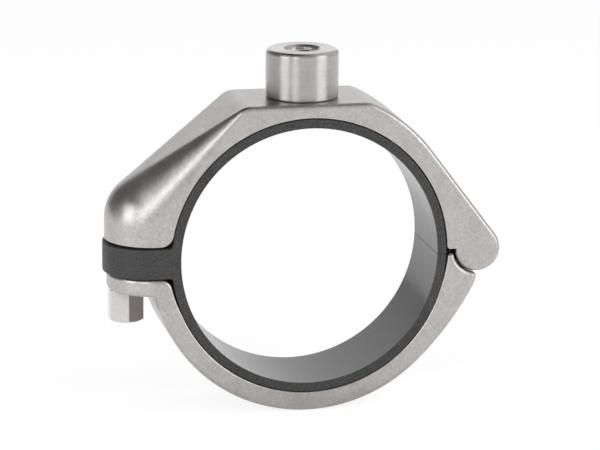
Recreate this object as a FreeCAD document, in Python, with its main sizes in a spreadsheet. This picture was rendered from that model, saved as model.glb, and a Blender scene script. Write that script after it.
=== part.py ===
# Hinged pipe hanger: two cast clamp halves, a rubber liner, a turned threaded boss, a bolt and a hinge pin.
# The pipe runs along Y through the origin, the hanger rod leaves along +Z and the bolt stands at -X.
import FreeCAD, Part
import math
import os
import Sketcher

V = FreeCAD.Vector

os.makedirs("parts", exist_ok=True)
doc = FreeCAD.newDocument("PipeHanger")
sheet = doc.addObject("Spreadsheet::Sheet", "Sizes")

# Driving dimensions in millimetres and degrees: alias, value, meaning
DRIVING = (
    ("PipeRadius", 38.1, "liner bore, half of a 3 in tube"),
    ("LinerWall", 2.7, "rubber round the pipe"),
    ("LinerGap", 0.3, "air between rubber and casting"),
    ("BandWidth", 27.2, "both castings and the rubber, along the pipe"),
    ("RingWall", 5.5, "casting round the pipe"),
    ("EdgeRound", 1.3, "outer edges of the castings"),
    ("CornerRound", 3.8, "where the parting faces turn into the bore"),
    ("PadThick", 3.8, "casting between its bore and the flat under the boss"),
    ("PadBend", 6.0, "bend at both ends of the flat"),
    ("ShoulderRise", 4.3, "how far the circle of the shoulder would pass above the flat"),
    ("ShoulderX", 2.4, "its centre, towards the bolt"),
    ("ShoulderZ", 1.0, "its centre, above the axis"),
    ("ArmSlope", 35.2, "fall of the arm towards the bolt, degrees"),
    ("ArmPastBolt", 6.1, "round end of the arm, beyond the bolt axis"),
    ("ArmEndZ", 10.6, "centre of that round end, above the pipe's axis"),
    ("CrestStrip", 0.3, "width left where both roundings meet"),
    ("UpperFace", 4.8, "parting face of the upper half"),
    ("LowerFace", 4.8, "parting face of the lower half, below the axis"),
    ("LugThick", 5.35, "bolt lug of the lower half"),
    ("LugPastBolt", 5.5, "round end of the lug, beyond the bolt axis"),
    ("LugFillet", 1.2, "under the lug, into the ring"),
    ("SocketWall", 2.05, "casting between its bore and the socket of the hinge"),
    ("NoseRadius", 6.75, "knuckles round the hinge pin"),
    ("HingeGap", 0.45, "air round the knuckles"),
    ("LipHeight", 0.4, "end face of the upper half beside its knuckles"),
    ("LipRound", 1.0, "corner of that face at the bore"),
    ("TipSpread", 0.17, "rounding at the top of that wall, beyond half its thickness"),
    ("HeelRound", 1.2, "outer corner of the lower half at the hinge"),
    ("HeelBack", 1.4, "centre of that corner, from the hinge axis towards the pipe"),
    ("HeelBend", 11.0, "curve under the heel, into the flank"),
    ("HeelSpare", 0.42, "how far inside the flank's circle the heel's corner stays"),
    ("FlankTurn", 47.0, "where the flank has run into the ring, below the axis, degrees"),
    ("TongueWidth", 10.6, "middle knuckle, on the lower half"),
    ("TongueGap", 0.3, "air beside the middle knuckle"),
    ("PinRadius", 2.5, "hinge pin"),
    ("PinPlay", 0.05, "middle knuckle on the pin"),
    ("PinFit", 0.01, "outer knuckles on the pin"),
    ("PinChamfer", 0.3, "both ends of the pin"),
    ("PinCover", 2.6, "casting left in front of the pin"),
    ("BoltReach", 5.5, "bolt axis outside the ring of the casting"),
    ("BoltRadius", 3.175, "shank of the quarter inch bolt"),
    ("BoltLength", 25.4, "shank under the head"),
    ("ThreadPlay", 0.05, "bolt in its tapped hole"),
    ("TapDeeper", 1.6, "tapped hole beyond the bolt's tip"),
    ("LugPlay", 0.3, "bolt in the lug"),
    ("LugSlot", 0.55, "lug hole drawn out so that the lug can tilt"),
    ("HeadFlats", 9.525, "hexagon across flats"),
    ("HeadHeight", 9.5, "hexagon height"),
    ("HeadFace", 4.5, "radius of the flat at the hexagon's free end"),
    ("HeadBevel", 30.0, "bevel of the hexagon's corners at that end, degrees"),
    ("BoltPoint", 0.8, "chamfer at the bolt's tip"),
    ("BossRadius", 10.6, "threaded boss"),
    ("BossHeight", 14.2, "boss above the flat"),
    ("BossRound", 1.3, "rounding of its top edge"),
    ("BossFoot", 0.6, "rounding of its foot"),
    ("SpigotRadius", 8.0, "spigot of the boss in the casting"),
    ("SpigotDepth", 2.2, "depth of that spigot"),
    ("RodRadius", 4.7625, "three eighths rod thread"),
    ("RodChamfer", 0.7, "chamfer at the thread's mouth"),
    ("BossFloor", 1.5, "steel under the drilled end of the thread"),
    ("SlitWidth", 0.1, "slit through the liner at the hinge"),
    ("SlitZ", 1.0, "slit, below the pipe's axis"),
    ("TabTopGap", 0.7, "air between the liner's tab and the upper half"),
    ("TabPastBolt", 6.7, "round end of the tab, beyond the bolt axis"),
    ("TabRoot", 1.0, "fillet where the tab leaves the liner"),
    ("TabPlay", 0.3, "bolt in the tab"),
    ("LinerRound", 0.4, "edges of the rubber"),
)
for row, (alias, value, meaning) in enumerate(DRIVING, start=1):
    sheet.set(f"A{row}", str(value))
    sheet.setAlias(f"A{row}", alias)
    sheet.set(f"B{row}", meaning)
doc.recompute()


def size(alias):
    """Value of a driving dimension."""
    return float(sheet.get(alias))


def polar(centre, radius, degrees):
    """Point at an angle on a circle."""
    turn = math.radians(degrees)
    return (centre[0] + radius * math.cos(turn), centre[1] + radius * math.sin(turn))


def bearing(start, end):
    """Angle from one point to another, in degrees."""
    return math.degrees(math.atan2(end[1] - start[1], end[0] - start[0]))


def meet(centre_a, radius_a, centre_b, radius_b, above):
    """Meeting point of two circles, above or below the line of their centres."""
    apart = math.dist(centre_a, centre_b)
    along = (radius_a ** 2 - radius_b ** 2 + apart ** 2) / (2 * apart)
    aside = math.sqrt(radius_a ** 2 - along ** 2)
    ux = (centre_b[0] - centre_a[0]) / apart
    uy = (centre_b[1] - centre_a[1]) / apart
    points = [
        (centre_a[0] + along * ux - side * aside * uy, centre_a[1] + along * uy + side * aside * ux)
        for side in (-1, 1)
    ]
    return max(points, key=lambda p: p[1]) if above else min(points, key=lambda p: p[1])


class Outline:
    """Closed outline in one sketch: lines and arcs drawn end to end, then tied to the sizes."""

    def __init__(self, body, name, role):
        plane = next(feature for feature in body.Origin.OriginFeatures if feature.Role == role)
        self.sketch = body.newObject("Sketcher::SketchObject", name)
        self.sketch.AttachmentSupport = [(plane, "")]
        self.sketch.MapMode = "FlatFace"
        self.pieces = []

    def shift(self, **distances):
        """Shift the sketch within its plane along x and y, and out of it along z."""
        for way, expression in distances.items():
            self.sketch.setExpression(f"AttachmentOffset.Base.{way}", expression)

    def line(self, start, end):
        index = self.sketch.addGeometry(Part.LineSegment(V(*start, 0), V(*end, 0)), False)
        way = bearing(start, end)
        self.pieces.append((index, 1, 2, way, way))
        return index

    def arc(self, centre, radius, first, last):
        """Arc from one angle to another: anticlockwise where the angle grows."""
        low, high = sorted((math.radians(first), math.radians(last)))
        circle = Part.Circle(V(*centre, 0), V(0, 0, 1), radius)
        index = self.sketch.addGeometry(Part.ArcOfCircle(circle, low, high), False)
        turn = 90 if last > first else -90
        ends = (1, 2) if last > first else (2, 1)
        self.pieces.append((index, *ends, first + turn, last + turn))
        return index

    def circle(self, centre, radius, radius_size):
        index = self.sketch.addGeometry(Part.Circle(V(*centre, 0), V(0, 0, 1), radius), False)
        self.radius(index, radius_size)
        return index

    def join(self):
        """Tie each piece's end to the next one's start, smoothly where they run on."""
        for here, after in zip(self.pieces, self.pieces[1:] + self.pieces[:1]):
            bend = (after[3] - here[4] + 180) % 360 - 180
            kind = "Tangent" if abs(bend) < 0.01 else "Coincident"
            both_lines = kind == "Tangent" and here[3] == here[4] and after[3] == after[4]
            kind = "Coincident" if both_lines else kind
            self.sketch.addConstraint(Sketcher.Constraint(kind, here[0], here[2], after[0], after[1]))

    def tie(self, constraint, expression):
        number = self.sketch.addConstraint(constraint)
        self.sketch.setExpression(f"Constraints[{number}]", expression)

    def radius(self, index, expression):
        value = self.sketch.Geometry[index].Radius
        self.tie(Sketcher.Constraint("Radius", index, value), expression)

    def place(self, index, end, x=None, y=None):
        """Tie a point (1 start, 2 end, 3 centre) to distances from the sketch's origin."""
        point = self.sketch.getPoint(index, end)
        for kind, value, expression in (("DistanceX", point.x, x), ("DistanceY", point.y, y)):
            if expression is None:
                continue
            if abs(value) < 1e-7:
                axis = -2 if kind == "DistanceX" else -1
                self.sketch.addConstraint(Sketcher.Constraint("PointOnObject", index, end, axis))
            elif value > 0:
                self.tie(Sketcher.Constraint(kind, -1, 1, index, end, value), expression)
            else:
                self.tie(Sketcher.Constraint(kind, index, end, -1, 1, -value), f"-({expression})")

    def centred(self, index):
        self.sketch.addConstraint(Sketcher.Constraint("Coincident", index, 3, -1, 1))

    def level(self, *lines):
        for index in lines:
            self.sketch.addConstraint(Sketcher.Constraint("Horizontal", index))

    def upright(self, *lines):
        for index in lines:
            self.sketch.addConstraint(Sketcher.Constraint("Vertical", index))


def new_body(name):
    body = doc.addObject("PartDesign::Body", name)
    body.Label = name
    return body


def feature(body, kind, name, outline=None, **values):
    """Feature of a body made from an outline; text values are bound to the sizes."""
    made = body.newObject(f"PartDesign::{kind}", name)
    if outline is not None:
        made.Profile = outline.sketch
    for key, value in values.items():
        if isinstance(value, str) and value.startswith("="):
            made.setExpression(key, value[1:])
        else:
            setattr(made, key, value)
    return made


def edge_names(shape, wanted):
    """Names of the edges of a shape whose middle point passes a test."""
    names = []
    for number, edge in enumerate(shape.Edges, start=1):
        middle = edge.valueAt((edge.FirstParameter + edge.LastParameter) / 2)
        if wanted(middle):
            names.append(f"Edge{number}")
    return names


def rounded(body, name, base, wanted, radius):
    """Constant fillet along the chosen edges of a feature."""
    doc.recompute()
    fillet = body.newObject("PartDesign::Fillet", name)
    fillet.Base = (base, edge_names(base.Shape, wanted))
    fillet.setExpression("Radius", radius)
    return fillet


# Places that follow from the sizes, each as a number and as the text of an expression
half_width = size("BandWidth") / 2
end_round = half_width - size("CrestStrip") / 2
bore = size("PipeRadius") + size("LinerWall") + size("LinerGap")
ring = bore + size("RingWall")
pad = bore + size("PadThick")
boss_top = pad + size("BossHeight")
shoulder_r = pad - size("ShoulderZ") + size("ShoulderRise")
socket = size("NoseRadius") + size("HingeGap")
hinge = (bore + size("SocketWall") + socket, 0)
tip = size("SocketWall") / 2 + size("TipSpread")
bolt_x = -ring - size("BoltReach")
arm_end = (bolt_x - size("ArmPastBolt") + half_width, size("ArmEndZ"))
BORE = "(Sizes.PipeRadius + Sizes.LinerWall + Sizes.LinerGap)"
RING = f"({BORE} + Sizes.RingWall)"
PAD = f"({BORE} + Sizes.PadThick)"
BOSS_TOP = f"({PAD} + Sizes.BossHeight)"
SHOULDER = f"({PAD} - Sizes.ShoulderZ + Sizes.ShoulderRise)"
SOCKET = "(Sizes.NoseRadius + Sizes.HingeGap)"
HINGE_X = f"({BORE} + Sizes.SocketWall + {SOCKET})"
TIP = "(Sizes.SocketWall / 2 + Sizes.TipSpread)"
BOLT_X = f"(-{RING} - Sizes.BoltReach)"
HALF = "Sizes.BandWidth / 2"
SLOPE = "Sizes.ArmSlope * 1 deg"
END_ROUND = "(Sizes.BandWidth - Sizes.CrestStrip) / 2"
HEX_SIDES = 6
HEX_HALF = f"{180 // HEX_SIDES} deg"
ARM_END_X = f"({BOLT_X} - Sizes.ArmPastBolt + {HALF})"
UNDER_LUG = "-(Sizes.LowerFace + Sizes.LugThick)"
BOLT_HOLE_END = f"{UNDER_LUG} + Sizes.BoltLength + Sizes.TapDeeper"
FLANK_TURN = "Sizes.FlankTurn * 1 deg"
HEEL_X = f"({HINGE_X} - Sizes.HeelBack)"
HEEL_Z = f"sqrt(({SOCKET} + Sizes.HeelRound) ^ 2 - Sizes.HeelBack ^ 2)"
HEEL_ALONG = f"({HEEL_X} * cos({FLANK_TURN}) + {HEEL_Z} * sin({FLANK_TURN}))"
HEEL_ROOM = f"({RING} - Sizes.HeelRound - Sizes.HeelSpare)"
FLANK_SHIFT = f"({HEEL_X} ^ 2 + {HEEL_Z} ^ 2 - {HEEL_ROOM} ^ 2) / (2 * ({HEEL_ROOM} - {HEEL_ALONG}))"
# How far a cut runs on past the face that it opens
OVERSHOOT = 1.0
# Where the middle knuckle's foot begins and ends, as angles about the hinge axis
TONGUE_FOOT = (195, 262)
# Tolerance for telling edges apart by their place
NEAR = 0.01


def on_side(middle):
    """Whether a point lies in the front or back face of the castings."""
    return abs(abs(middle.y) - half_width) < NEAR


def upper_sizes():
    """Centres and angles of the upper half's outline."""
    face = size("UpperFace")
    corner = size("CornerRound")
    corner_z = face + corner
    corner_c = (-math.sqrt((bore + corner) ** 2 - corner_z ** 2), corner_z)
    lip = size("LipHeight")
    lip_r = size("LipRound")
    lip_c = (math.sqrt((bore + lip_r) ** 2 - (lip + lip_r) ** 2), lip + lip_r)
    nose_r = size("NoseRadius")
    lip_end = (hinge[0] - math.sqrt(nose_r ** 2 - lip ** 2), lip)
    return face, corner, corner_c, lip, lip_r, lip_c, nose_r, lip_end


def upper_outline(body):
    """Front view of the upper half's outside, from its parting face over the top to under the hinge."""
    face = size("UpperFace")
    nose_r = size("NoseRadius")
    shoulder_c = (-size("ShoulderX"), size("ShoulderZ"))
    span = math.dist(shoulder_c, hinge)
    flank = bearing(shoulder_c, hinge) + math.degrees(math.acos((shoulder_r - nose_r) / span))
    bend = size("PadBend")
    bend_z = pad - bend
    right_c = (shoulder_c[0] + math.sqrt((shoulder_r - bend) ** 2 - (bend_z - shoulder_c[1]) ** 2), bend_z)
    right_turn = bearing(shoulder_c, right_c)
    slope = size("ArmSlope")
    crest = polar(arm_end, half_width, 90 + slope)
    fall = math.radians(slope)
    left_x = crest[0] + (pad - crest[1]) / math.tan(fall) + bend * math.tan(fall / 2)
    left_c = (left_x, bend_z)
    inside = bore / 2
    end_x = arm_end[0] - half_width

    out = Outline(body, "UpperOutline", "XZ_Plane")
    parting = out.line((end_x, face), (inside, face))
    step = out.line((inside, face), (inside, hinge[1] - nose_r))
    foot = out.line((inside, hinge[1] - nose_r), (hinge[0], hinge[1] - nose_r))
    nose = out.arc(hinge, nose_r, -90, flank)
    out.line(polar(hinge, nose_r, flank), polar(shoulder_c, shoulder_r, flank))
    shoulder = out.arc(shoulder_c, shoulder_r, flank, right_turn)
    right_bend = out.arc(right_c, bend, right_turn, 90)
    flat = out.line((right_c[0], pad), (left_c[0], pad))
    left_bend = out.arc(left_c, bend, 90, 90 + slope)
    crest_line = out.line(polar(left_c, bend, 90 + slope), crest)
    end_arc = out.arc(arm_end, half_width, 90 + slope, 180)
    end_line = out.line((end_x, arm_end[1]), (end_x, face))
    out.join()
    out.level(parting, foot, flat)
    out.upright(step, end_line)
    out.place(parting, 1, y="Sizes.UpperFace")
    out.place(parting, 2, x=f"{BORE} / 2")
    out.place(nose, 3, x=HINGE_X, y="0")
    out.radius(nose, "Sizes.NoseRadius")
    out.place(shoulder, 3, x="-Sizes.ShoulderX", y="Sizes.ShoulderZ")
    out.radius(shoulder, SHOULDER)
    out.radius(right_bend, "Sizes.PadBend")
    out.place(flat, 1, y=PAD)
    out.radius(left_bend, "Sizes.PadBend")
    out.place(end_arc, 3, x=ARM_END_X, y="Sizes.ArmEndZ")
    out.radius(end_arc, HALF)
    out.tie(Sketcher.Constraint("Angle", crest_line, math.radians(180 + slope)), f"180 deg + {SLOPE}")
    return out


def upper_bore_outline(body):
    """What the upper half loses inside: rounded corner, bore, lip and the side facing the lower half."""
    face, corner, corner_c, lip, lip_r, lip_c, nose_r, lip_end = upper_sizes()
    bore_turn = bearing(corner_c, (0, 0))
    lip_turn = bearing((0, 0), lip_c)
    under = hinge[1] - nose_r - OVERSHOOT

    out = Outline(body, "UpperBoreOutline", "XZ_Plane")
    rise = out.line((corner_c[0], under), (corner_c[0], face))
    inner = out.arc(corner_c, corner, -90, bore_turn)
    inside = out.arc((0, 0), bore, bore_turn + 180, lip_turn)
    lip_arc = out.arc(lip_c, lip_r, lip_turn + 180, 270)
    lip_line = out.line((lip_c[0], lip), lip_end)
    nose = out.arc(hinge, nose_r, bearing(hinge, lip_end), 270)
    drop = out.line((hinge[0], hinge[1] - nose_r), (hinge[0], under))
    back = out.line((hinge[0], under), (corner_c[0], under))
    out.join()
    out.upright(rise, drop)
    out.level(lip_line, back)
    out.place(rise, 2, y="Sizes.UpperFace")
    out.radius(inner, "Sizes.CornerRound")
    out.centred(inside)
    out.radius(inside, BORE)
    out.radius(lip_arc, "Sizes.LipRound")
    out.place(lip_line, 1, y="Sizes.LipHeight")
    out.place(nose, 3, x=HINGE_X, y="0")
    out.radius(nose, "Sizes.NoseRadius")
    out.place(drop, 2, x=HINGE_X, y=f"-(Sizes.NoseRadius + {OVERSHOOT})")
    return out


def spandrel(out, crest, crest_size, radius, radius_size):
    """Corner left over by a rounding between the back face and a crest, drawn out past both of them."""
    centre = (half_width - radius, crest - radius)
    past = (half_width + OVERSHOOT, crest + OVERSHOOT)
    arc = out.arc(centre, radius, 0, 90)
    rise = out.line((centre[0], crest), (centre[0], past[1]))
    roof = out.line((centre[0], past[1]), past)
    wall = out.line(past, (past[0], centre[1]))
    foot = out.line((past[0], centre[1]), (half_width, centre[1]))
    out.join()
    out.upright(rise, wall)
    out.level(roof, foot)
    out.radius(arc, radius_size)
    out.place(arc, 3, x=f"{HALF} - {radius_size}", y=f"{crest_size} - {radius_size}")
    out.place(roof, 2, x=f"{HALF} + {OVERSHOOT}", y=f"{crest_size} + {OVERSHOOT}")


def plan_end(body, name, past_bolt, level, depth):
    """Round the front corner of a body's bolt end in plan, from a level downwards."""
    out = Outline(body, name + "Plan", "XY_Plane")
    out.shift(x=f"{BOLT_X} - {past_bolt} + {HALF}", z=level)
    out.sketch.setExpression("AttachmentOffset.Rotation.Angle", "180 deg")
    spandrel(out, half_width, HALF, end_round, END_ROUND)
    return feature(body, "Pocket", name, out, Length=f"={depth}")


def mirrored(body, name, *originals):
    """Repeat features at the back, across the middle plane."""
    mirror = body.newObject("PartDesign::Mirrored", name)
    mirror.Originals = list(originals)
    plane = next(part for part in body.Origin.OriginFeatures if part.Role == "XZ_Plane")
    mirror.MirrorPlane = (plane, [""])
    body.Tip = mirror
    return mirror


def turned_hole(body, name, corners, x_size="0"):
    """Hole revolved about an upright axis; each corner is radius, height and the sizes that these follow."""
    out = Outline(body, name + "Profile", "XZ_Plane")
    out.shift(x=x_size)
    points = [(radius, height) for radius, height, _, _ in corners]
    lines = [out.line(a, b) for a, b in zip(points, points[1:] + points[:1])]
    out.join()
    for line, (_, _, radius_size, height_size) in zip(lines, corners):
        out.place(line, 1, x=radius_size, y=height_size)
    return feature(body, "Groove", name, out, ReferenceAxis=(out.sketch, ["V_Axis"]), Angle=360)


def hinge_circle(body, name, kind, radius, radius_size, length, out_by="0", **values):
    """Pad or pocket of a circle about the hinge axis."""
    out = Outline(body, name + "Circle", "XZ_Plane")
    out.shift(z=out_by)
    ring_index = out.circle(hinge, radius, radius_size)
    out.place(ring_index, 3, x=HINGE_X, y="0")
    return feature(body, kind, name, out, Length=f"={length}", **values)


def bolt_circle(body, name, radius, radius_size, level, depth):
    """Pocket of a circle about the bolt axis, from a level downwards."""
    out = Outline(body, name + "Circle", "XY_Plane")
    out.shift(z=level)
    ring_index = out.circle((bolt_x, 0), radius, radius_size)
    out.place(ring_index, 3, x=BOLT_X)
    out.sketch.addConstraint(Sketcher.Constraint("PointOnObject", ring_index, 3, -1))
    return feature(body, "Pocket", name, out, Length=f"={depth}")


def arm_section(body, name, along, radius, radius_size):
    """Spandrel across the arm, at a distance up its slope from the centre of the round end."""
    out = Outline(body, name, "YZ_Plane")
    tilt = FreeCAD.Rotation(V(-1, 0, 0), size("ArmSlope"))
    out.sketch.AttachmentOffset = FreeCAD.Placement(V(0, 0, 0), tilt)
    out.sketch.setExpression("AttachmentOffset.Rotation.Angle", "Sizes.ArmSlope")
    out.shift(
        y=f"Sizes.ArmEndZ + ({along}) * sin({SLOPE})",
        z=f"{ARM_END_X} + ({along}) * cos({SLOPE})",
    )
    spandrel(out, half_width, HALF, radius, radius_size)
    return out


def nose_rounding(body):
    """Edge rounding carried on round the nose, from straight below the hinge to the lip."""
    out = Outline(body, "NoseEdge", "YZ_Plane")
    out.sketch.AttachmentOffset = FreeCAD.Placement(V(0, 0, 0), FreeCAD.Rotation(V(1, 0, 0), 180))
    out.shift(z=HINGE_X)
    spandrel(out, size("NoseRadius"), "Sizes.NoseRadius", size("EdgeRound"), "Sizes.EdgeRound")
    return feature(
        body, "Groove", "NoseRounding", out, ReferenceAxis=(out.sketch, ["H_Axis"]),
        Angle="=90 deg + asin(Sizes.LipHeight / Sizes.NoseRadius)",
    )


def upper_clamp_half():
    """Casting over the pipe: flat for the boss, arm down to the bolt, outer knuckles of the hinge."""
    body = new_body("upper_clamp_half")
    out = upper_outline(body)
    solid = feature(body, "Pad", "UpperPad", out, Length="=Sizes.BandWidth", Midplane=True)
    above_face = size("UpperFace") + NEAR
    rounded(body, "UpperEdges", solid, lambda p: on_side(p) and p.z > above_face, "Sizes.EdgeRound")
    feature(
        body, "Pocket", "UpperBore", upper_bore_outline(body),
        Length=f"=Sizes.BandWidth + {2 * OVERSHOOT}", Midplane=True,
    )
    # The rounding of the arm's edges opens from the casting's usual edge to half its width
    bend_end = f"{PAD} - Sizes.PadBend * (1 - cos({SLOPE}))"
    arm_run = f"({bend_end} - Sizes.ArmEndZ - {HALF} * cos({SLOPE})) / sin({SLOPE})"
    low = arm_section(body, "ArmLow", "0", end_round, END_ROUND)
    high = arm_section(body, "ArmHigh", arm_run, size("EdgeRound"), "Sizes.EdgeRound")
    slope_cut = feature(body, "SubtractiveLoft", "ArmSlopeRounding", low, Ruled=True)
    slope_cut.Sections = [(high.sketch, [""])]
    # It then rolls over the round end of the arm and runs down to the parting face
    roll_cut = feature(
        body, "Groove", "ArmEndRounding", low, ReferenceAxis=(low.sketch, ["H_Axis"]),
        Angle="=90 - Sizes.ArmSlope", Reversed=True,
    )
    drop_cut = plan_end(
        body, "ArmSideRounding", "Sizes.ArmPastBolt", "Sizes.ArmEndZ",
        f"Sizes.ArmEndZ - Sizes.UpperFace + {OVERSHOOT}",
    )
    mirrored(body, "FrontRoundings", slope_cut, roll_cut, drop_cut, nose_rounding(body))
    hinge_circle(
        body, "KnuckleSlot", "Pocket",
        socket, SOCKET, "Sizes.TongueWidth + 2 * Sizes.TongueGap", Midplane=True,
    )
    hinge_circle(
        body, "PinHole", "Pocket",
        size("PinRadius") + size("PinFit"), "Sizes.PinRadius + Sizes.PinFit",
        "Sizes.BandWidth", f"{HALF} - Sizes.PinCover",
    )
    # Tapped hole for the bolt, ending in the cone of a drill's point
    hole = size("BoltRadius") + size("ThreadPlay")
    hole_size = "Sizes.BoltRadius + Sizes.ThreadPlay"
    mouth = size("UpperFace") - OVERSHOOT
    mouth_size = f"Sizes.UpperFace - {OVERSHOOT}"
    floor = size("BoltLength") - size("LugThick") - size("LowerFace") + size("TapDeeper")
    turned_hole(
        body, "BoltHole",
        (
            (0, mouth, "0", mouth_size),
            (hole, mouth, hole_size, mouth_size),
            (hole, floor, hole_size, BOLT_HOLE_END),
            (0, floor + hole / 2, "0", f"{BOLT_HOLE_END} + ({hole_size}) / 2"),
        ),
        BOLT_X,
    )
    # Round seat for the boss's spigot
    spigot = size("SpigotRadius")
    seat = pad - size("SpigotDepth")
    seat_size = f"{PAD} - Sizes.SpigotDepth"
    over = pad + OVERSHOOT
    over_size = f"{PAD} + {OVERSHOOT}"
    turned_hole(
        body, "BossSeat",
        (
            (0, seat, "0", seat_size),
            (spigot, seat, "Sizes.SpigotRadius", seat_size),
            (spigot, over, "Sizes.SpigotRadius", over_size),
            (0, over, "0", over_size),
        ),
    )
    return body


def lower_outline(body):
    """Front view of the lower half: lug, bore, tip beside the knuckles, heel and ring."""
    face = -size("LowerFace")
    corner = size("CornerRound")
    corner_c = (-math.sqrt((bore + corner) ** 2 - (face - corner) ** 2), face - corner)
    tip_c = meet((0, 0), bore + tip, hinge, socket + tip, False)
    # The flank is a wide arc that ends on the ring and keeps the heel's corner just inside it
    heel_r = size("HeelRound")
    heel_x = hinge[0] - size("HeelBack")
    heel_c = (heel_x, -math.sqrt((socket + heel_r) ** 2 - size("HeelBack") ** 2))
    flank_turn = -size("FlankTurn")
    out_x, out_z = polar((0, 0), 1, flank_turn)
    along = heel_c[0] * out_x + heel_c[1] * out_z
    room = ring - heel_r - size("HeelSpare")
    flank_shift = (math.hypot(*heel_c) ** 2 - room ** 2) / (2 * (room - along))
    flank_c = polar((0, 0), flank_shift, 180 + flank_turn)
    flank_r = ring + flank_shift
    bend_r = size("HeelBend")
    bend_c = meet(flank_c, flank_r - bend_r, heel_c, bend_r - heel_r, False)
    under = face - size("LugThick")
    fillet = size("LugFillet")
    fillet_c = (-math.sqrt((ring + fillet) ** 2 - (under - fillet) ** 2), under - fillet)
    end_x = bolt_x - size("LugPastBolt")

    out = Outline(body, "LowerOutline", "XZ_Plane")
    bore_turn = bearing(corner_c, (0, 0))
    top = out.line((end_x, face), (corner_c[0], face))
    inner = out.arc(corner_c, corner, 90, bore_turn)
    inside = out.arc((0, 0), bore, bore_turn + 180, 360 + bearing((0, 0), tip_c))
    tip_arc = out.arc(tip_c, tip, 180 + bearing((0, 0), tip_c), bearing(tip_c, hinge))
    cup = out.arc(hinge, socket, 180 + bearing(tip_c, hinge), 360 + bearing(hinge, heel_c))
    heel = out.arc(heel_c, heel_r, bearing(heel_c, hinge), bearing(bend_c, heel_c))
    bend = out.arc(bend_c, bend_r, bearing(bend_c, heel_c), bearing(flank_c, bend_c))
    flank = out.arc(flank_c, flank_r, bearing(flank_c, bend_c), flank_turn)
    outer = out.arc((0, 0), ring, flank_turn, bearing((0, 0), fillet_c))
    root = out.arc(fillet_c, fillet, bearing(fillet_c, (0, 0)), 90)
    bottom = out.line((fillet_c[0], under), (end_x, under))
    end = out.line((end_x, under), (end_x, face))
    out.join()
    out.level(top, bottom)
    out.upright(end)
    out.place(top, 1, x=f"{BOLT_X} - Sizes.LugPastBolt", y="-Sizes.LowerFace")
    out.radius(inner, "Sizes.CornerRound")
    out.centred(inside)
    out.radius(inside, BORE)
    out.radius(tip_arc, TIP)
    out.place(cup, 3, x=HINGE_X, y="0")
    out.radius(cup, SOCKET)
    out.radius(heel, "Sizes.HeelRound")
    out.place(heel, 3, x=HEEL_X)
    out.radius(bend, "Sizes.HeelBend")
    out.place(flank, 3, x=f"-({FLANK_SHIFT}) * cos({FLANK_TURN})", y=f"({FLANK_SHIFT}) * sin({FLANK_TURN})")
    out.centred(outer)
    out.radius(outer, RING)
    out.radius(root, "Sizes.LugFillet")
    out.place(bottom, 1, y="-(Sizes.LowerFace + Sizes.LugThick)")
    return out


def tongue_outline(body):
    """Middle knuckle: a disc about the hinge axis with a foot that runs into the lower half."""
    radius = size("NoseRadius")
    reach = socket + tip
    first, last = TONGUE_FOOT
    out = Outline(body, "TongueOutline", "XZ_Plane")
    disc = out.arc(hinge, radius, last - 360, first)
    out.line(polar(hinge, radius, first), polar(hinge, reach, first))
    foot = out.arc(hinge, reach, first, last)
    out.line(polar(hinge, reach, last), polar(hinge, radius, last))
    out.join()
    out.place(disc, 3, x=HINGE_X, y="0")
    out.radius(disc, "Sizes.NoseRadius")
    out.place(foot, 3, x=HINGE_X, y="0")
    out.radius(foot, f"{SOCKET} + {TIP}")
    return out


def lug_slot_outline(body):
    """Bolt hole in the lug, drawn out towards the lug's end."""
    radius = size("BoltRadius") + size("LugPlay")
    near = bolt_x
    far = near - size("LugSlot")
    out = Outline(body, "LugSlotOutline", "XY_Plane")
    right = out.arc((near, 0), radius, -90, 90)
    back = out.line((near, radius), (far, radius))
    left = out.arc((far, 0), radius, 90, 270)
    front = out.line((far, -radius), (near, -radius))
    out.join()
    out.level(back, front)
    out.place(right, 3, x=BOLT_X, y="0")
    out.radius(right, "Sizes.BoltRadius + Sizes.LugPlay")
    out.place(left, 3, x=f"{BOLT_X} - Sizes.LugSlot")
    return out


def lower_clamp_half():
    """Casting under the pipe: bolt lug, socket round the outer knuckles, middle knuckle."""
    body = new_body("lower_clamp_half")
    feature(body, "Pad", "LowerPad", lower_outline(body), Length="=Sizes.BandWidth", Midplane=True)
    end_cut = plan_end(body, "LugEnd", "Sizes.LugPastBolt", f"-Sizes.LowerFace + {OVERSHOOT}", RING)
    shaped = mirrored(body, "LugBack", end_cut)
    top = -size("LowerFace") - size("LugThick") + NEAR
    right = hinge[0] - size("NoseRadius")

    def outer_edge(middle):
        out = math.hypot(middle.x, middle.z) > ring - NEAR
        return out and on_side(middle) and middle.z < top and middle.x < right

    rounded(body, "LowerEdges", shaped, outer_edge, "Sizes.EdgeRound")
    feature(body, "Pad", "Tongue", tongue_outline(body), Length="=Sizes.TongueWidth", Midplane=True)
    hinge_circle(
        body, "TonguePinHole", "Pocket",
        size("PinRadius") + size("PinPlay"), "Sizes.PinRadius + Sizes.PinPlay",
        f"Sizes.BandWidth + {OVERSHOOT}", Midplane=True,
    )
    feature(
        body, "Pocket", "LugSlot", lug_slot_outline(body),
        Length=f"=Sizes.LowerFace + Sizes.LugThick + {OVERSHOOT}",
    )
    return body


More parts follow.
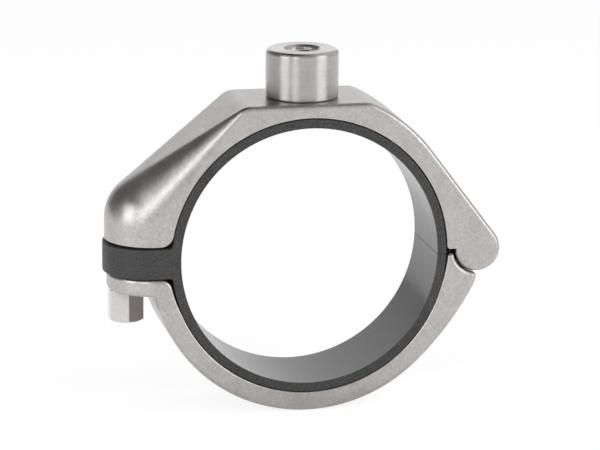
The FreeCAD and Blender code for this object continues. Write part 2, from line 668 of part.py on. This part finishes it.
def threaded_boss():
    """Turned boss with a spigot in the casting and a blind thread for the hanger rod."""
    body = new_body("threaded_boss")
    foot = pad - size("SpigotDepth")
    spigot = size("SpigotRadius")
    radius = size("BossRadius")
    edge = size("BossRound")
    toe = size("BossFoot")
    rod = size("RodRadius")
    chamfer = size("RodChamfer")
    drill = foot + size("BossFloor")
    floor = drill + rod / 2
    out = Outline(body, "BossProfile", "XZ_Plane")
    base = out.line((0, foot), (spigot, foot))
    side = out.line((spigot, foot), (spigot, pad))
    ledge = out.line((spigot, pad), (radius - toe, pad))
    foot_curve = out.arc((radius - toe, pad + toe), toe, -90, 0)
    wall = out.line((radius, pad + toe), (radius, boss_top - edge))
    curve = out.arc((radius - edge, boss_top - edge), edge, 0, 90)
    crown = out.line((radius - edge, boss_top), (rod + chamfer, boss_top))
    mouth = out.line((rod + chamfer, boss_top), (rod, boss_top - chamfer))
    thread = out.line((rod, boss_top - chamfer), (rod, floor))
    cone = out.line((rod, floor), (0, drill))
    axis = out.line((0, drill), (0, foot))
    out.join()
    out.level(base, ledge, crown)
    out.upright(side, wall, thread, axis)
    out.place(base, 1, x="0", y=f"{PAD} - Sizes.SpigotDepth")
    out.place(side, 2, x="Sizes.SpigotRadius", y=PAD)
    out.place(wall, 1, x="Sizes.BossRadius")
    out.radius(foot_curve, "Sizes.BossFoot")
    out.radius(curve, "Sizes.BossRound")
    out.place(crown, 2, x="Sizes.RodRadius + Sizes.RodChamfer", y=BOSS_TOP)
    out.place(mouth, 2, x="Sizes.RodRadius", y=f"{BOSS_TOP} - Sizes.RodChamfer")
    out.place(thread, 2, y=f"{PAD} - Sizes.SpigotDepth + Sizes.BossFloor + Sizes.RodRadius / 2")
    out.place(cone, 2, y=f"{PAD} - Sizes.SpigotDepth + Sizes.BossFloor")
    feature(body, "Revolution", "BossTurning", out, ReferenceAxis=(out.sketch, ["V_Axis"]), Angle=360)
    return body


def liner_outline(body):
    """Front view of the rubber: a slit ring with the tab between the parting faces."""
    inner = size("PipeRadius")
    outer = inner + size("LinerWall")
    slit_top = -size("SlitZ") + size("SlitWidth") / 2
    slit_low = -size("SlitZ") - size("SlitWidth") / 2
    tab_top = size("UpperFace") - size("TabTopGap")
    tab_low = -size("LowerFace")
    root = size("TabRoot")
    top_c = (-math.sqrt((outer + root) ** 2 - (tab_top + root) ** 2), tab_top + root)
    low_c = (-math.sqrt((outer + root) ** 2 - (tab_low - root) ** 2), tab_low - root)
    end_x = bolt_x - size("TabPastBolt")

    def on_ring(radius, height):
        return (math.sqrt(radius ** 2 - height ** 2), height)

    def turn(radius, height):
        return math.degrees(math.asin(height / radius))

    out = Outline(body, "LinerOutline", "XZ_Plane")
    upper_lip = out.line(on_ring(inner, slit_top), on_ring(outer, slit_top))
    over = out.arc((0, 0), outer, turn(outer, slit_top), bearing((0, 0), top_c))
    top_root = out.arc(top_c, root, bearing(top_c, (0, 0)), -90)
    top = out.line((top_c[0], tab_top), (end_x, tab_top))
    end = out.line((end_x, tab_top), (end_x, tab_low))
    low = out.line((end_x, tab_low), (low_c[0], tab_low))
    low_root = out.arc(low_c, root, 90, bearing(low_c, (0, 0)))
    under = out.arc((0, 0), outer, 180 + bearing(low_c, (0, 0)), 360 + turn(outer, slit_low))
    lower_lip = out.line(on_ring(outer, slit_low), on_ring(inner, slit_low))
    pipe = out.arc((0, 0), inner, 360 + turn(inner, slit_low), turn(inner, slit_top))
    out.join()
    out.level(upper_lip, top, low, lower_lip)
    out.upright(end)
    out.centred(over)
    out.radius(over, "Sizes.PipeRadius + Sizes.LinerWall")
    out.centred(under)
    out.centred(pipe)
    out.radius(pipe, "Sizes.PipeRadius")
    out.radius(top_root, "Sizes.TabRoot")
    out.radius(low_root, "Sizes.TabRoot")
    out.place(upper_lip, 1, y="-(Sizes.SlitZ - Sizes.SlitWidth / 2)")
    out.place(lower_lip, 1, y="-(Sizes.SlitZ + Sizes.SlitWidth / 2)")
    out.place(top, 2, x=f"{BOLT_X} - Sizes.TabPastBolt", y="Sizes.UpperFace - Sizes.TabTopGap")
    out.place(end, 2, y="-Sizes.LowerFace")
    return out


def rubber_liner():
    """Rubber round the pipe, slit at the hinge, with a tab that the bolt passes through."""
    body = new_body("rubber_liner")
    feature(body, "Pad", "LinerPad", liner_outline(body), Length="=Sizes.BandWidth", Midplane=True)
    above = f"Sizes.UpperFace - Sizes.TabTopGap + {OVERSHOOT}"
    through = f"{above} + Sizes.LowerFace + {OVERSHOOT}"
    end_cut = plan_end(body, "TabEnd", "Sizes.TabPastBolt", above, through)
    shaped = mirrored(body, "TabBack", end_cut)
    outer = size("PipeRadius") + size("LinerWall")

    def rim(middle):
        return on_side(middle) and math.hypot(middle.x, middle.z) > outer - NEAR

    rounded(body, "LinerEdges", shaped, rim, "Sizes.LinerRound")
    bolt_circle(
        body, "TabHole", size("BoltRadius") + size("TabPlay"), "Sizes.BoltRadius + Sizes.TabPlay",
        above, through,
    )
    return body


def on_bolt_axis(kind, name, height, **values):
    """Primitive that stands on the bolt axis at a height; its values are bound to the sizes."""
    made = doc.addObject(f"Part::{kind}", name)
    for key, value in values.items():
        made.setExpression(key, value)
    made.setExpression("Placement.Base.x", BOLT_X)
    made.setExpression("Placement.Base.z", height)
    return made


def clamp_bolt():
    """Long hexagon head under the lug, shank up through lug and tab into the arm."""
    free_end = f"{UNDER_LUG} - Sizes.HeadHeight"
    hexagon = on_bolt_axis(
        "Prism", "HeadHexagon", free_end,
        Circumradius=f"Sizes.HeadFlats / 2 / cos({HEX_HALF})", Height="Sizes.HeadHeight",
    )
    hexagon.Polygon = HEX_SIDES
    hexagon.Placement.Rotation = FreeCAD.Rotation(V(0, 0, 1), 180 / HEX_SIDES)
    bevel = on_bolt_axis(
        "Cone", "HeadBevel", free_end, Radius1="Sizes.HeadFace", Height="Sizes.HeadHeight",
        Radius2="Sizes.HeadFace + Sizes.HeadHeight / tan(Sizes.HeadBevel * 1 deg)",
    )
    head = doc.addObject("Part::MultiCommon", "Head")
    head.Shapes = [hexagon, bevel]
    shank = on_bolt_axis(
        "Cylinder", "Shank", UNDER_LUG,
        Radius="Sizes.BoltRadius", Height="Sizes.BoltLength - Sizes.BoltPoint",
    )
    point = on_bolt_axis(
        "Cone", "Point", f"{UNDER_LUG} + Sizes.BoltLength - Sizes.BoltPoint",
        Radius1="Sizes.BoltRadius", Radius2="Sizes.BoltRadius - Sizes.BoltPoint", Height="Sizes.BoltPoint",
    )
    bolt = doc.addObject("Part::MultiFuse", "clamp_bolt")
    bolt.Label = "clamp_bolt"
    bolt.Shapes = [head, shank, point]
    bolt.Refine = True
    return bolt


def hinge_pin():
    """Pin pressed in from the back; the front knuckle covers its end."""
    body = new_body("hinge_pin")
    pin = hinge_circle(
        body, "Pin", "Pad", size("PinRadius"), "Sizes.PinRadius",
        "Sizes.BandWidth - Sizes.PinCover", f"{HALF} - Sizes.PinCover", Reversed=True,
    )
    doc.recompute()
    front_end = size("PinCover") - half_width
    chamfer = body.newObject("PartDesign::Chamfer", "PinEnds")
    chamfer.Base = (pin, edge_names(pin.Shape, lambda p: on_side(p) or abs(p.y - front_end) < NEAR))
    chamfer.setExpression("Size", "Sizes.PinChamfer")
    return body


MAKERS = (upper_clamp_half, threaded_boss, lower_clamp_half, rubber_liner, clamp_bolt, hinge_pin)
parts = [make() for make in MAKERS]
doc.recompute()
CUTS = ("PartDesign::Pocket", "PartDesign::Groove", "PartDesign::SubtractiveLoft")
for thing in doc.Objects:
    if "Invalid" in thing.State or "Error" in thing.State:
        raise RuntimeError(f"{thing.Name} failed: {thing.getStatusString()}")
    if thing.TypeId in CUTS and thing.Shape.Volume > thing.BaseFeature.Shape.Volume - NEAR:
        raise RuntimeError(f"{thing.Name} cuts nothing")
for thing in parts:
    if thing.Shape.isNull() or not thing.Shape.isValid() or len(thing.Shape.Solids) != 1:
        raise RuntimeError(f"{thing.Label} is not one valid solid")
    thing.Shape.exportStep(f"parts/{thing.Label}.step")
    print(f"{thing.Label}: {thing.Shape.Volume:.0f} mm3, {len(thing.Shape.Faces)} faces")
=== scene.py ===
# Looks of the pipe hanger: camera, materials, small forms added to the solids, floor, room and lamps
import math

import bmesh
import bpy
from mathutils import Matrix, Vector


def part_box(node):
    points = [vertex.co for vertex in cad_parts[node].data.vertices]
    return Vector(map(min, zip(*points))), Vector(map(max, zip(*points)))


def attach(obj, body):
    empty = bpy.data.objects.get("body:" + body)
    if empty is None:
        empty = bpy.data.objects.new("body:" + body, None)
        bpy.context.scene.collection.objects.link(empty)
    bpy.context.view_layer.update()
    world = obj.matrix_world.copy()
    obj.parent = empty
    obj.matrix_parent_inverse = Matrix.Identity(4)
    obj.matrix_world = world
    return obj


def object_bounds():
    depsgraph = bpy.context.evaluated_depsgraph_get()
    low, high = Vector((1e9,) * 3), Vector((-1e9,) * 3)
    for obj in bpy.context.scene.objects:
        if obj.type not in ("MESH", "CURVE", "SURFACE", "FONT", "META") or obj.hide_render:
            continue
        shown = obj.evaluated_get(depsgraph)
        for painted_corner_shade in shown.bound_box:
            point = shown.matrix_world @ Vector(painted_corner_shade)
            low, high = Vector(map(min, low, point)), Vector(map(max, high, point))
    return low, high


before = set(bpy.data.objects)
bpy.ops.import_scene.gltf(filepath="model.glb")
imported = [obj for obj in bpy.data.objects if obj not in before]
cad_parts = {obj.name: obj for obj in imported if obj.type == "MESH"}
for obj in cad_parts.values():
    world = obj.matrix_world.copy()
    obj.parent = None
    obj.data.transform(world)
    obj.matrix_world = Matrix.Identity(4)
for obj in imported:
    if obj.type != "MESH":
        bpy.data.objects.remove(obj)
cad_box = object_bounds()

scene = bpy.context.scene

# Sizes and places, in metres
MM = 0.001
BORE_RADIUS = 38.1 * MM
CASTING_BORE = 41.1 * MM
CASTING_ROUNDING = 1.3 * MM
FRONT = cad_box[0].y
FOOT = cad_box[0].z
BOSS_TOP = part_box("threaded_boss")[1].z
pin_low, pin_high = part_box("hinge_pin")
HINGE_X = (pin_low.x + pin_high.x) / 2


# Camera
def make_camera():
    """Camera at the photograph's angle, fitted to the outlines of the bore and the castings."""
    azimuth = math.radians(12.54)
    elevation = math.radians(14.018)
    roll = math.radians(0.5)
    distance = 950.2 * MM
    target = Vector((-0.212, 0, 6.196)) * MM
    back = Vector((
        -math.sin(azimuth) * math.cos(elevation),
        -math.cos(azimuth) * math.cos(elevation),
        math.sin(elevation),
    ))
    level_right = Vector((math.cos(azimuth), -math.sin(azimuth), 0))
    level_up = back.cross(level_right)
    right = level_right * math.cos(roll) + level_up * math.sin(roll)
    up = level_up * math.cos(roll) - level_right * math.sin(roll)
    eye = target + back * distance
    data = bpy.data.cameras.new("camera")
    data.sensor_width = 36
    data.lens = 194.16
    data.clip_start = 0.01
    data.clip_end = 50
    camera = bpy.data.objects.new("camera", data)
    camera.matrix_world = Matrix((
        (right.x, up.x, back.x, eye.x),
        (right.y, up.y, back.y, eye.y),
        (right.z, up.z, back.z, eye.z),
        (0, 0, 0, 1),
    ))
    scene.collection.objects.link(camera)
    scene.camera = camera


make_camera()
scene.view_settings.view_transform = "Standard"


# Node helpers
class Nodes:
    """Small helper to build a node tree: add nodes, set their inputs, link them."""

    def __init__(self, tree):
        self.tree = tree
        tree.nodes.clear()

    def add(self, kind, inputs=None, **settings):
        node = self.tree.nodes.new(kind)
        for key, value in settings.items():
            setattr(node, key, value)
        for key, value in (inputs or {}).items():
            self.plug(node.inputs[key], value)
        return node

    def plug(self, socket, value):
        if isinstance(value, bpy.types.NodeSocket):
            self.tree.links.new(value, socket)
        else:
            socket.default_value = value

    def math(self, operation, a, b=0.0):
        return self.add("ShaderNodeMath", {0: a, 1: b}, operation=operation).outputs[0]

    def mix(self, share, a, b):
        """Weighted mean of two values; share is the weight of the first."""
        return self.math("ADD", self.math("MULTIPLY", a, share), self.math("MULTIPLY", b, 1 - share))

    def length(self, a, b):
        return self.math("SQRT", self.math("ADD", self.math("POWER", a, 2.0), self.math("POWER", b, 2.0)))

    def dot(self, a, b):
        return self.add("ShaderNodeVectorMath", {0: a, 1: b}, operation="DOT_PRODUCT").outputs["Value"]

    def point(self, x, y):
        """Vector from two values."""
        return self.add("ShaderNodeCombineXYZ", {"X": x, "Y": y}).outputs[0]

    def noise(self, vector, scale, detail, rough):
        """Cloudy noise; the scale counts its waves along one unit of the vector."""
        return self.add("ShaderNodeTexNoise", {
            "Vector": vector, "Scale": scale, "Detail": detail, "Roughness": rough,
        }).outputs["Fac"]

    def spread(self, value, low, high, to_low, to_high, smooth=False):
        """Carries the range from low to high over to the other range, and stays within it."""
        node = self.add("ShaderNodeMapRange", {
            "Value": value, "From Min": low, "From Max": high, "To Min": to_low, "To Max": to_high,
        })
        if smooth:
            node.interpolation_type = "SMOOTHSTEP"
        return node.outputs["Result"]

    def share(self, value, start, end):
        """0 up to the start, rising to 1 at the end."""
        return self.spread(value, start, end, 0.0, 1.0)

    def bump(self, height, distance, normal=None):
        node = self.add("ShaderNodeBump", {"Height": height, "Distance": distance})
        if normal is not None:
            self.plug(node.inputs["Normal"], normal)
        return node.outputs["Normal"]

    def tint(self, factor, dark, light):
        """Colour between two colours; each is three numbers or another colour's socket."""
        node = self.add("ShaderNodeMix", data_type="RGBA")
        self.plug(node.inputs["Factor"], factor)
        for name, colour in (("A", dark), ("B", light)):
            self.plug(node.inputs[name], (*colour, 1) if isinstance(colour, tuple) else colour)
        return node.outputs["Result"]

    def place(self):
        """Place on the part, as a vector and as its three parts."""
        vector = self.add("ShaderNodeTexCoord").outputs["Object"]
        parts = self.add("ShaderNodeSeparateXYZ", {0: vector})
        return vector, parts.outputs["X"], parts.outputs["Y"], parts.outputs["Z"]

    def rolled(self, radius):
        """Normal that rolls over sharp edges."""
        return self.add("ShaderNodeBevel", {"Radius": radius}, samples=8).outputs["Normal"]

    def edge_mask(self, rolled):
        """1 along sharp edges, from the angle between the true and the rolled normal."""
        sharp = 0.93
        flat = 0.995
        true = self.add("ShaderNodeNewGeometry").outputs["Normal"]
        return self.spread(self.dot(rolled, true), sharp, flat, 1.0, 0.0)

    def finish(self, colour, roughness, normal, **more):
        inputs = {"Base Color": colour, "Roughness": roughness, "Normal": normal}
        inputs.update({name.replace("_", " "): value for name, value in more.items()})
        self.surface(self.add("ShaderNodeBsdfPrincipled", inputs))

    def surface(self, shader):
        output = self.add("ShaderNodeOutputMaterial")
        self.tree.links.new(shader.outputs[0], output.inputs["Surface"])


def material(name):
    made = bpy.data.materials.new(name)
    made.use_nodes = True
    return made, Nodes(made.node_tree)


# Materials
def cast_steel():
    """Bead-blasted cast stainless steel: speckled grain, faint clouds, edges a little brighter from wear
    and a painted highlight.

    On the arm the normal rolls over a wide stretch, which softens the crease along its back.
    """
    dark = (0.39, 0.37, 0.36)
    light = (0.57, 0.548, 0.536)
    worn_and_highlight = (0.68, 0.67, 0.66)
    arm_begins = -38 * MM
    arm_full = -44 * MM
    arm_low = 7 * MM
    arm_high = 10 * MM
    edge_radius = 0.35 * MM
    arm_radius = 2.6 * MM
    made, nodes = material("cast_steel")
    vector, x, _, z = nodes.place()
    grain = nodes.noise(vector, 2300, 2.0, 0.7)
    blotches = nodes.noise(vector, 800, 2.0, 0.6)
    clouds = nodes.noise(vector, 150, 3.0, 0.6)
    waves = nodes.noise(vector, 60, 1.0, 0.4)
    outwards = nodes.share(x, arm_begins, arm_full)
    upwards = nodes.share(z, arm_low, arm_high)
    on_arm = nodes.math("MULTIPLY", outwards, upwards)
    rolled = nodes.rolled(nodes.spread(on_arm, 0, 1, edge_radius, arm_radius))
    edge = nodes.math("MULTIPLY", nodes.edge_mask(rolled), nodes.spread(on_arm, 0, 1, 1, 0))
    speckle = nodes.mix(0.6, grain, blotches)
    tone = nodes.mix(0.75, speckle, clouds)
    colour = nodes.tint(nodes.share(tone, 0.36, 0.64), dark, light)
    # Edges lifted towards a pale colour: partly wear, partly a painted highlight along the edges.
    colour = nodes.tint(nodes.math("MULTIPLY", edge, 0.5), colour, worn_and_highlight)
    satin = nodes.spread(clouds, 0.3, 0.7, 0.29, 0.37)
    roughness = nodes.math("SUBTRACT", satin, nodes.math("MULTIPLY", edge, 0.1))
    normal = nodes.bump(speckle, 0.020 * MM, nodes.bump(waves, 0.06 * MM, rolled))
    nodes.finish(colour, roughness, normal, Metallic=1.0)
    return made


def turned_boss():
    """Turned stainless steel, brushed round its axis, so that lights stretch into upright streaks."""
    dark = (0.41, 0.389, 0.380)
    light = (0.54, 0.517, 0.506)
    side_ends = BOSS_TOP - 0.5 * MM
    top_begins = BOSS_TOP - 0.1 * MM
    top_roughness = 0.18
    made, nodes = material("turned_boss")
    vector, x, y, z = nodes.place()
    lathe = nodes.noise(nodes.point(nodes.length(x, y), z), 4200, 2.0, 0.6)
    clouds = nodes.noise(vector, 260, 3.0, 0.6)
    grain = nodes.noise(vector, 2400, 2.0, 0.6)
    tone = nodes.mix(0.5, nodes.mix(0.4, lathe, grain), clouds)
    colour = nodes.tint(nodes.share(tone, 0.35, 0.65), dark, light)
    side_roughness = nodes.spread(clouds, 0.3, 0.7, 0.30, 0.38)
    roughness = nodes.spread(z, side_ends, top_begins, side_roughness, top_roughness)
    normal = nodes.bump(grain, 0.006 * MM, nodes.bump(lathe, 0.0012 * MM, nodes.rolled(0.2 * MM)))
    turn = nodes.add("ShaderNodeTangent", direction_type="RADIAL", axis="Z").outputs[0]
    nodes.finish(
        colour, roughness, normal,
        Metallic=1.0, Anisotropic=0.85, Tangent=turn, Anisotropic_Rotation=0.25,
    )
    return made


def turned_pin():
    """Ground steel of the hinge pin: fine rings round its level axis."""
    dark = (0.47, 0.462, 0.452)
    light = (0.57, 0.562, 0.55)
    made, nodes = material("turned_pin")
    vector, x, y, z = nodes.place()
    from_axis = nodes.length(nodes.math("SUBTRACT", x, HINGE_X), z)
    lathe = nodes.noise(nodes.point(from_axis, y), 4200, 2.0, 0.6)
    clouds = nodes.noise(vector, 220, 2.0, 0.5)
    tone = nodes.mix(0.5, lathe, clouds)
    colour = nodes.tint(nodes.share(tone, 0.3, 0.7), dark, light)
    roughness = nodes.spread(tone, 0.3, 0.7, 0.2, 0.32)
    nodes.finish(colour, roughness, nodes.bump(lathe, 0.004 * MM, nodes.rolled(0.2 * MM)), Metallic=1.0)
    return made


def cut_thread():
    """Freshly cut steel of the thread: bright, with fine tool marks."""
    dark = (0.62, 0.61, 0.60)
    light = (0.80, 0.79, 0.78)
    made, nodes = material("cut_thread")
    vector = nodes.place()[0]
    marks = nodes.noise(vector, 3200, 2.0, 0.6)
    colour = nodes.tint(nodes.share(marks, 0.35, 0.65), dark, light)
    roughness = nodes.spread(marks, 0.3, 0.7, 0.14, 0.24)
    nodes.finish(colour, roughness, nodes.bump(marks, 0.004 * MM), Metallic=1.0)
    return made


def drawn_steel():
    """Bright drawn hexagon bar: fine lines along the bolt, faint scuffs across, and painted shade that
    darkens it in corners.
    """
    dark = (0.56, 0.547, 0.538)
    light = (0.70, 0.688, 0.678)
    painted_corner_shade = (0.40, 0.373, 0.357)
    made, nodes = material("drawn_steel")
    vector = nodes.place()[0]
    stretched = nodes.add("ShaderNodeMapping", {"Vector": vector, "Scale": (2600, 2600, 150)}).outputs[0]
    lines = nodes.noise(stretched, 1.0, 3.0, 0.6)
    scuffs = nodes.noise(vector, 900, 2.0, 0.7)
    tone = nodes.mix(0.5, lines, scuffs)
    colour = nodes.tint(nodes.share(tone, 0.3, 0.7), dark, light)
    # Painted shade: ambient occlusion darkens the colour towards a dark grey in corners and next to other
    # parts.
    open_air = nodes.add("ShaderNodeAmbientOcclusion", {"Distance": 16 * MM}, samples=8).outputs["AO"]
    colour = nodes.tint(nodes.share(open_air, 0.55, 0.95), painted_corner_shade, colour)
    roughness = nodes.spread(tone, 0.3, 0.7, 0.16, 0.24)
    nodes.finish(colour, roughness, nodes.bump(lines, 0.003 * MM, nodes.rolled(0.25 * MM)), Metallic=1.0)
    return made


def dark_rubber():
    """Moulded rubber: grainy matt faces, and a smooth inner wall that shines when seen flat on."""
    dark = (0.010, 0.0095, 0.0095)
    light = (0.092, 0.090, 0.088)
    wall_ends = BORE_RADIUS + 0.08 * MM
    face_begins = BORE_RADIUS + 0.2 * MM
    wall_grain = 0.12
    made, nodes = material("dark_rubber")
    vector, x, _, z = nodes.place()
    inner = nodes.spread(nodes.length(x, z), wall_ends, face_begins, 1, 0)
    grain = nodes.noise(vector, 2600, 3.0, 0.65)
    bloom = nodes.noise(vector, 110, 3.0, 0.6)
    colour = nodes.tint(nodes.share(nodes.mix(0.8, grain, bloom), 0.35, 0.65), dark, light)
    polished = nodes.spread(bloom, 0.3, 0.7, 0.14, 0.22)
    matt = nodes.spread(bloom, 0.3, 0.7, 0.44, 0.54)
    roughness = nodes.spread(inner, 0, 1, matt, polished)
    height = nodes.math("MULTIPLY", grain, nodes.spread(inner, 0, 1, 1, wall_grain))
    nodes.finish(colour, roughness, nodes.bump(height, 0.035 * MM, nodes.rolled(0.3 * MM)))
    return made


def dress(node, finish):
    """Gives a node of the part one finish all over."""
    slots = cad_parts[node].material_slots
    for slot in slots:
        slot.material = finish
    if not slots:
        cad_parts[node].data.materials.append(finish)


cast = cast_steel()
dress("upper_clamp_half", cast)
dress("lower_clamp_half", cast)
dress("threaded_boss", turned_boss())
dress("hinge_pin", turned_pin())
dress("clamp_bolt", drawn_steel())
dress("rubber_liner", dark_rubber())


# Small forms added to the solids
def new_object(name, mesh, finish, smooth=False):
    """Object from finished mesh code, linked into the scene."""
    bmesh.ops.recalc_face_normals(mesh, faces=mesh.faces)
    data = bpy.data.meshes.new(name)
    mesh.to_mesh(data)
    mesh.free()
    for polygon in data.polygons:
        polygon.use_smooth = smooth
    data.materials.append(finish)
    made = bpy.data.objects.new(name, data)
    scene.collection.objects.link(made)
    return made


def bridge(mesh, near, far):
    """Band of faces between two closed rings with as many points."""
    for i in range(len(near)):
        j = (i + 1) % len(near)
        mesh.faces.new((near[i], near[j], far[j], far[i]))


def rod_thread():
    """Internal three eighths thread: a closed sleeve whose inner wall winds up the hole."""
    outer = 4.75 * MM
    root = 4.70 * MM
    crest = 4.05 * MM
    pitch = 25.4 / 16 * MM
    turns = 6.5
    mouth = 0.75 * MM
    top = BOSS_TOP - mouth
    bottom = top - turns * pitch
    root_flat = 0.06
    flank = 0.82
    lead_in = 0.6 * pitch
    run_out = 0.3 * pitch
    around = 72
    rows_per_turn = 12
    rows = int(turns * rows_per_turn)
    mesh = bmesh.new()

    def inner_radius(angle, height):
        phase = ((height - bottom) / pitch - angle / (2 * math.pi)) % 1.0
        rise = 1 - abs(2 * phase - 1)
        rise = min(1.0, max(0.0, (rise - root_flat) / flank))
        lead = min(1.0, (top - height) / lead_in, (height - bottom) / run_out)
        return root - (root - crest) * rise * max(0.0, lead)

    def ring(height, radius_of):
        verts = []
        for i in range(around):
            angle = 2 * math.pi * i / around
            radius = radius_of(angle, height)
            verts.append(mesh.verts.new((radius * math.cos(angle), radius * math.sin(angle), height)))
        return verts

    rings = [ring(bottom + (top - bottom) * row / rows, inner_radius) for row in range(rows + 1)]
    rings.append(ring(top, lambda angle, height: outer))
    rings.append(ring(bottom, lambda angle, height: outer))
    for lower, upper in zip(rings, rings[1:] + rings[:1]):
        bridge(mesh, upper, lower)
    thread = new_object("rod_thread", mesh, cut_thread(), smooth=True)
    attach(thread, "upper")


def bore_rim():
    """Tight rounding of the lower half's bore, front and back, which closes the running gap to the liner.

    At both ends it fades into the casting's own larger rounding.
    """
    first = math.radians(-168.96)
    last = math.radians(-2.94)
    fade = math.radians(12)
    steps = 200
    arc_steps = 8
    rim_radius = 40.82 * MM
    rounding = 0.65 * MM
    sink = 0.012 * MM
    depth = 1.6 * MM
    buried = CASTING_BORE + 0.3 * MM
    reach = CASTING_BORE + CASTING_ROUNDING + 0.05 * MM
    mesh = bmesh.new()

    def profile(angle):
        near_end = max(0.0, 1 - min(angle - first, last - angle) / fade)
        inner = rim_radius + (CASTING_BORE - rim_radius) * near_end
        radius = rounding + (CASTING_ROUNDING - rounding) * near_end
        arc = []
        for step in range(arc_steps + 1):
            turn = math.pi / 2 * step / arc_steps
            arc.append((inner + radius * (1 - math.sin(turn)), sink + radius * (1 - math.cos(turn))))
        return [(reach, sink), *arc, (inner, depth), (buried, depth), (reach, depth / 2)]

    def ring(angle, side):
        return [
            mesh.verts.new((r * math.cos(angle), side * (FRONT + y), r * math.sin(angle)))
            for r, y in profile(angle)
        ]

    for side in (1, -1):
        rings = [ring(first + (last - first) * step / steps, side) for step in range(steps + 1)]
        for near, far in zip(rings, rings[1:]):
            bridge(mesh, near, far)
        mesh.faces.new(rings[0])
        mesh.faces.new(rings[-1])
    rim = new_object("bore_rim", mesh, cast)
    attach(rim, "lower")


rod_thread()
bore_rim()


# Floor, room and lamps
def make_floor():
    """Pale floor under the ring: near white, with the ring's shadow, and painted shade where the metal
    close by reflects it.
    """
    drop = 0.2 * MM
    half_width = 4.0
    near = 15 * MM
    far = 85 * MM
    painted_shade_level = 0.55
    paper = (0.45, 0.45, 0.45, 1)
    brightness = 0.77
    mesh = bmesh.new()
    bmesh.ops.create_grid(mesh, x_segments=8, y_segments=8, size=half_width)
    for vert in mesh.verts:
        vert.co.z = FOOT - drop
    made, nodes = material("floor_paper")
    x, y = nodes.place()[1:3]
    # Painted shade: the floor's glow seen in reflections is dimmed near the ring, standing in for the
    # shade under it.
    away = nodes.spread(nodes.length(x, y), near, far, painted_shade_level, 1.0, True)
    path = nodes.add("ShaderNodeLightPath").outputs
    mirrored = nodes.math("MULTIPLY", path["Is Glossy Ray"], away)
    seen = nodes.math("MAXIMUM", path["Is Camera Ray"], mirrored)
    seen = nodes.math("MAXIMUM", seen, path["Is Transmission Ray"])
    strength = nodes.math("MULTIPLY", seen, brightness)
    diffuse = nodes.add("ShaderNodeBsdfDiffuse", {"Color": paper})
    glow = nodes.add("ShaderNodeEmission", {"Color": (1, 1, 1, 1), "Strength": strength})
    nodes.surface(nodes.add("ShaderNodeAddShader", {0: diffuse.outputs[0], 1: glow.outputs[0]}))
    new_object("floor", mesh, made)


def compass(azimuth, elevation):
    """Direction from the object: azimuth 0 is behind it, 90 to its right, 180 in front of it."""
    a = math.radians(azimuth)
    e = math.radians(elevation)
    return Vector((math.sin(a) * math.cos(e), math.cos(a) * math.cos(e), math.sin(e)))


def make_world():
    """Dim room with brighter and darker patches of wall and ceiling, all fixed in the room.

    Each patch has its direction, the angles in degrees where it is still full and where it has gone,
    and the brightness that it adds.
    """
    room = 0.30
    darkest = 0.05
    patches = (
        (compass(6, 9), 16, 34, 0.80),
        (compass(180, 8), 25, 60, 0.42),
        (compass(-55, 42), 25, 60, -0.13),
        (compass(0, 90), 20, 45, -0.15),
        (compass(74, 40), 20, 50, 0.50),
    )
    world = bpy.data.worlds.new("studio")
    scene.world = world
    world.use_nodes = True
    nodes = Nodes(world.node_tree)
    way = nodes.add("ShaderNodeTexCoord").outputs["Generated"]
    level = room
    for direction, full, gone, amount in patches:
        edge = math.cos(math.radians(gone))
        core = math.cos(math.radians(full))
        patch = nodes.spread(nodes.dot(way, direction), edge, core, 0.0, amount, True)
        level = nodes.math("ADD", patch, level)
    level = nodes.math("MAXIMUM", level, darkest)
    background = nodes.add("ShaderNodeBackground", {"Color": (1, 1, 1, 1), "Strength": level})
    output = nodes.add("ShaderNodeOutputWorld")
    nodes.tree.links.new(background.outputs[0], output.inputs["Surface"])


def softbox(name, azimuth, elevation, width, height, radiance):
    """Area lamp a metre away that faces the object; its power gives the stated brightness of its face."""
    data = bpy.data.lights.new(name, "AREA")
    data.shape = "RECTANGLE"
    data.size = width
    data.size_y = height
    data.energy = radiance * math.pi * width * height
    lamp = bpy.data.objects.new(name, data)
    direction = compass(azimuth, elevation)
    lamp.location = direction
    lamp.rotation_mode = "QUATERNION"
    lamp.rotation_quaternion = direction.to_track_quat("Z", "Y")
    lamp.visible_camera = False
    scene.collection.objects.link(lamp)


make_floor()
make_world()
softbox("softbox_left", azimuth=-112, elevation=14, width=0.50, height=0.58, radiance=2.4)
softbox("softbox_front_left", azimuth=-146, elevation=19, width=0.30, height=0.46, radiance=2.5)
softbox("softbox_right", azimuth=127, elevation=16, width=0.60, height=0.64, radiance=2.2)
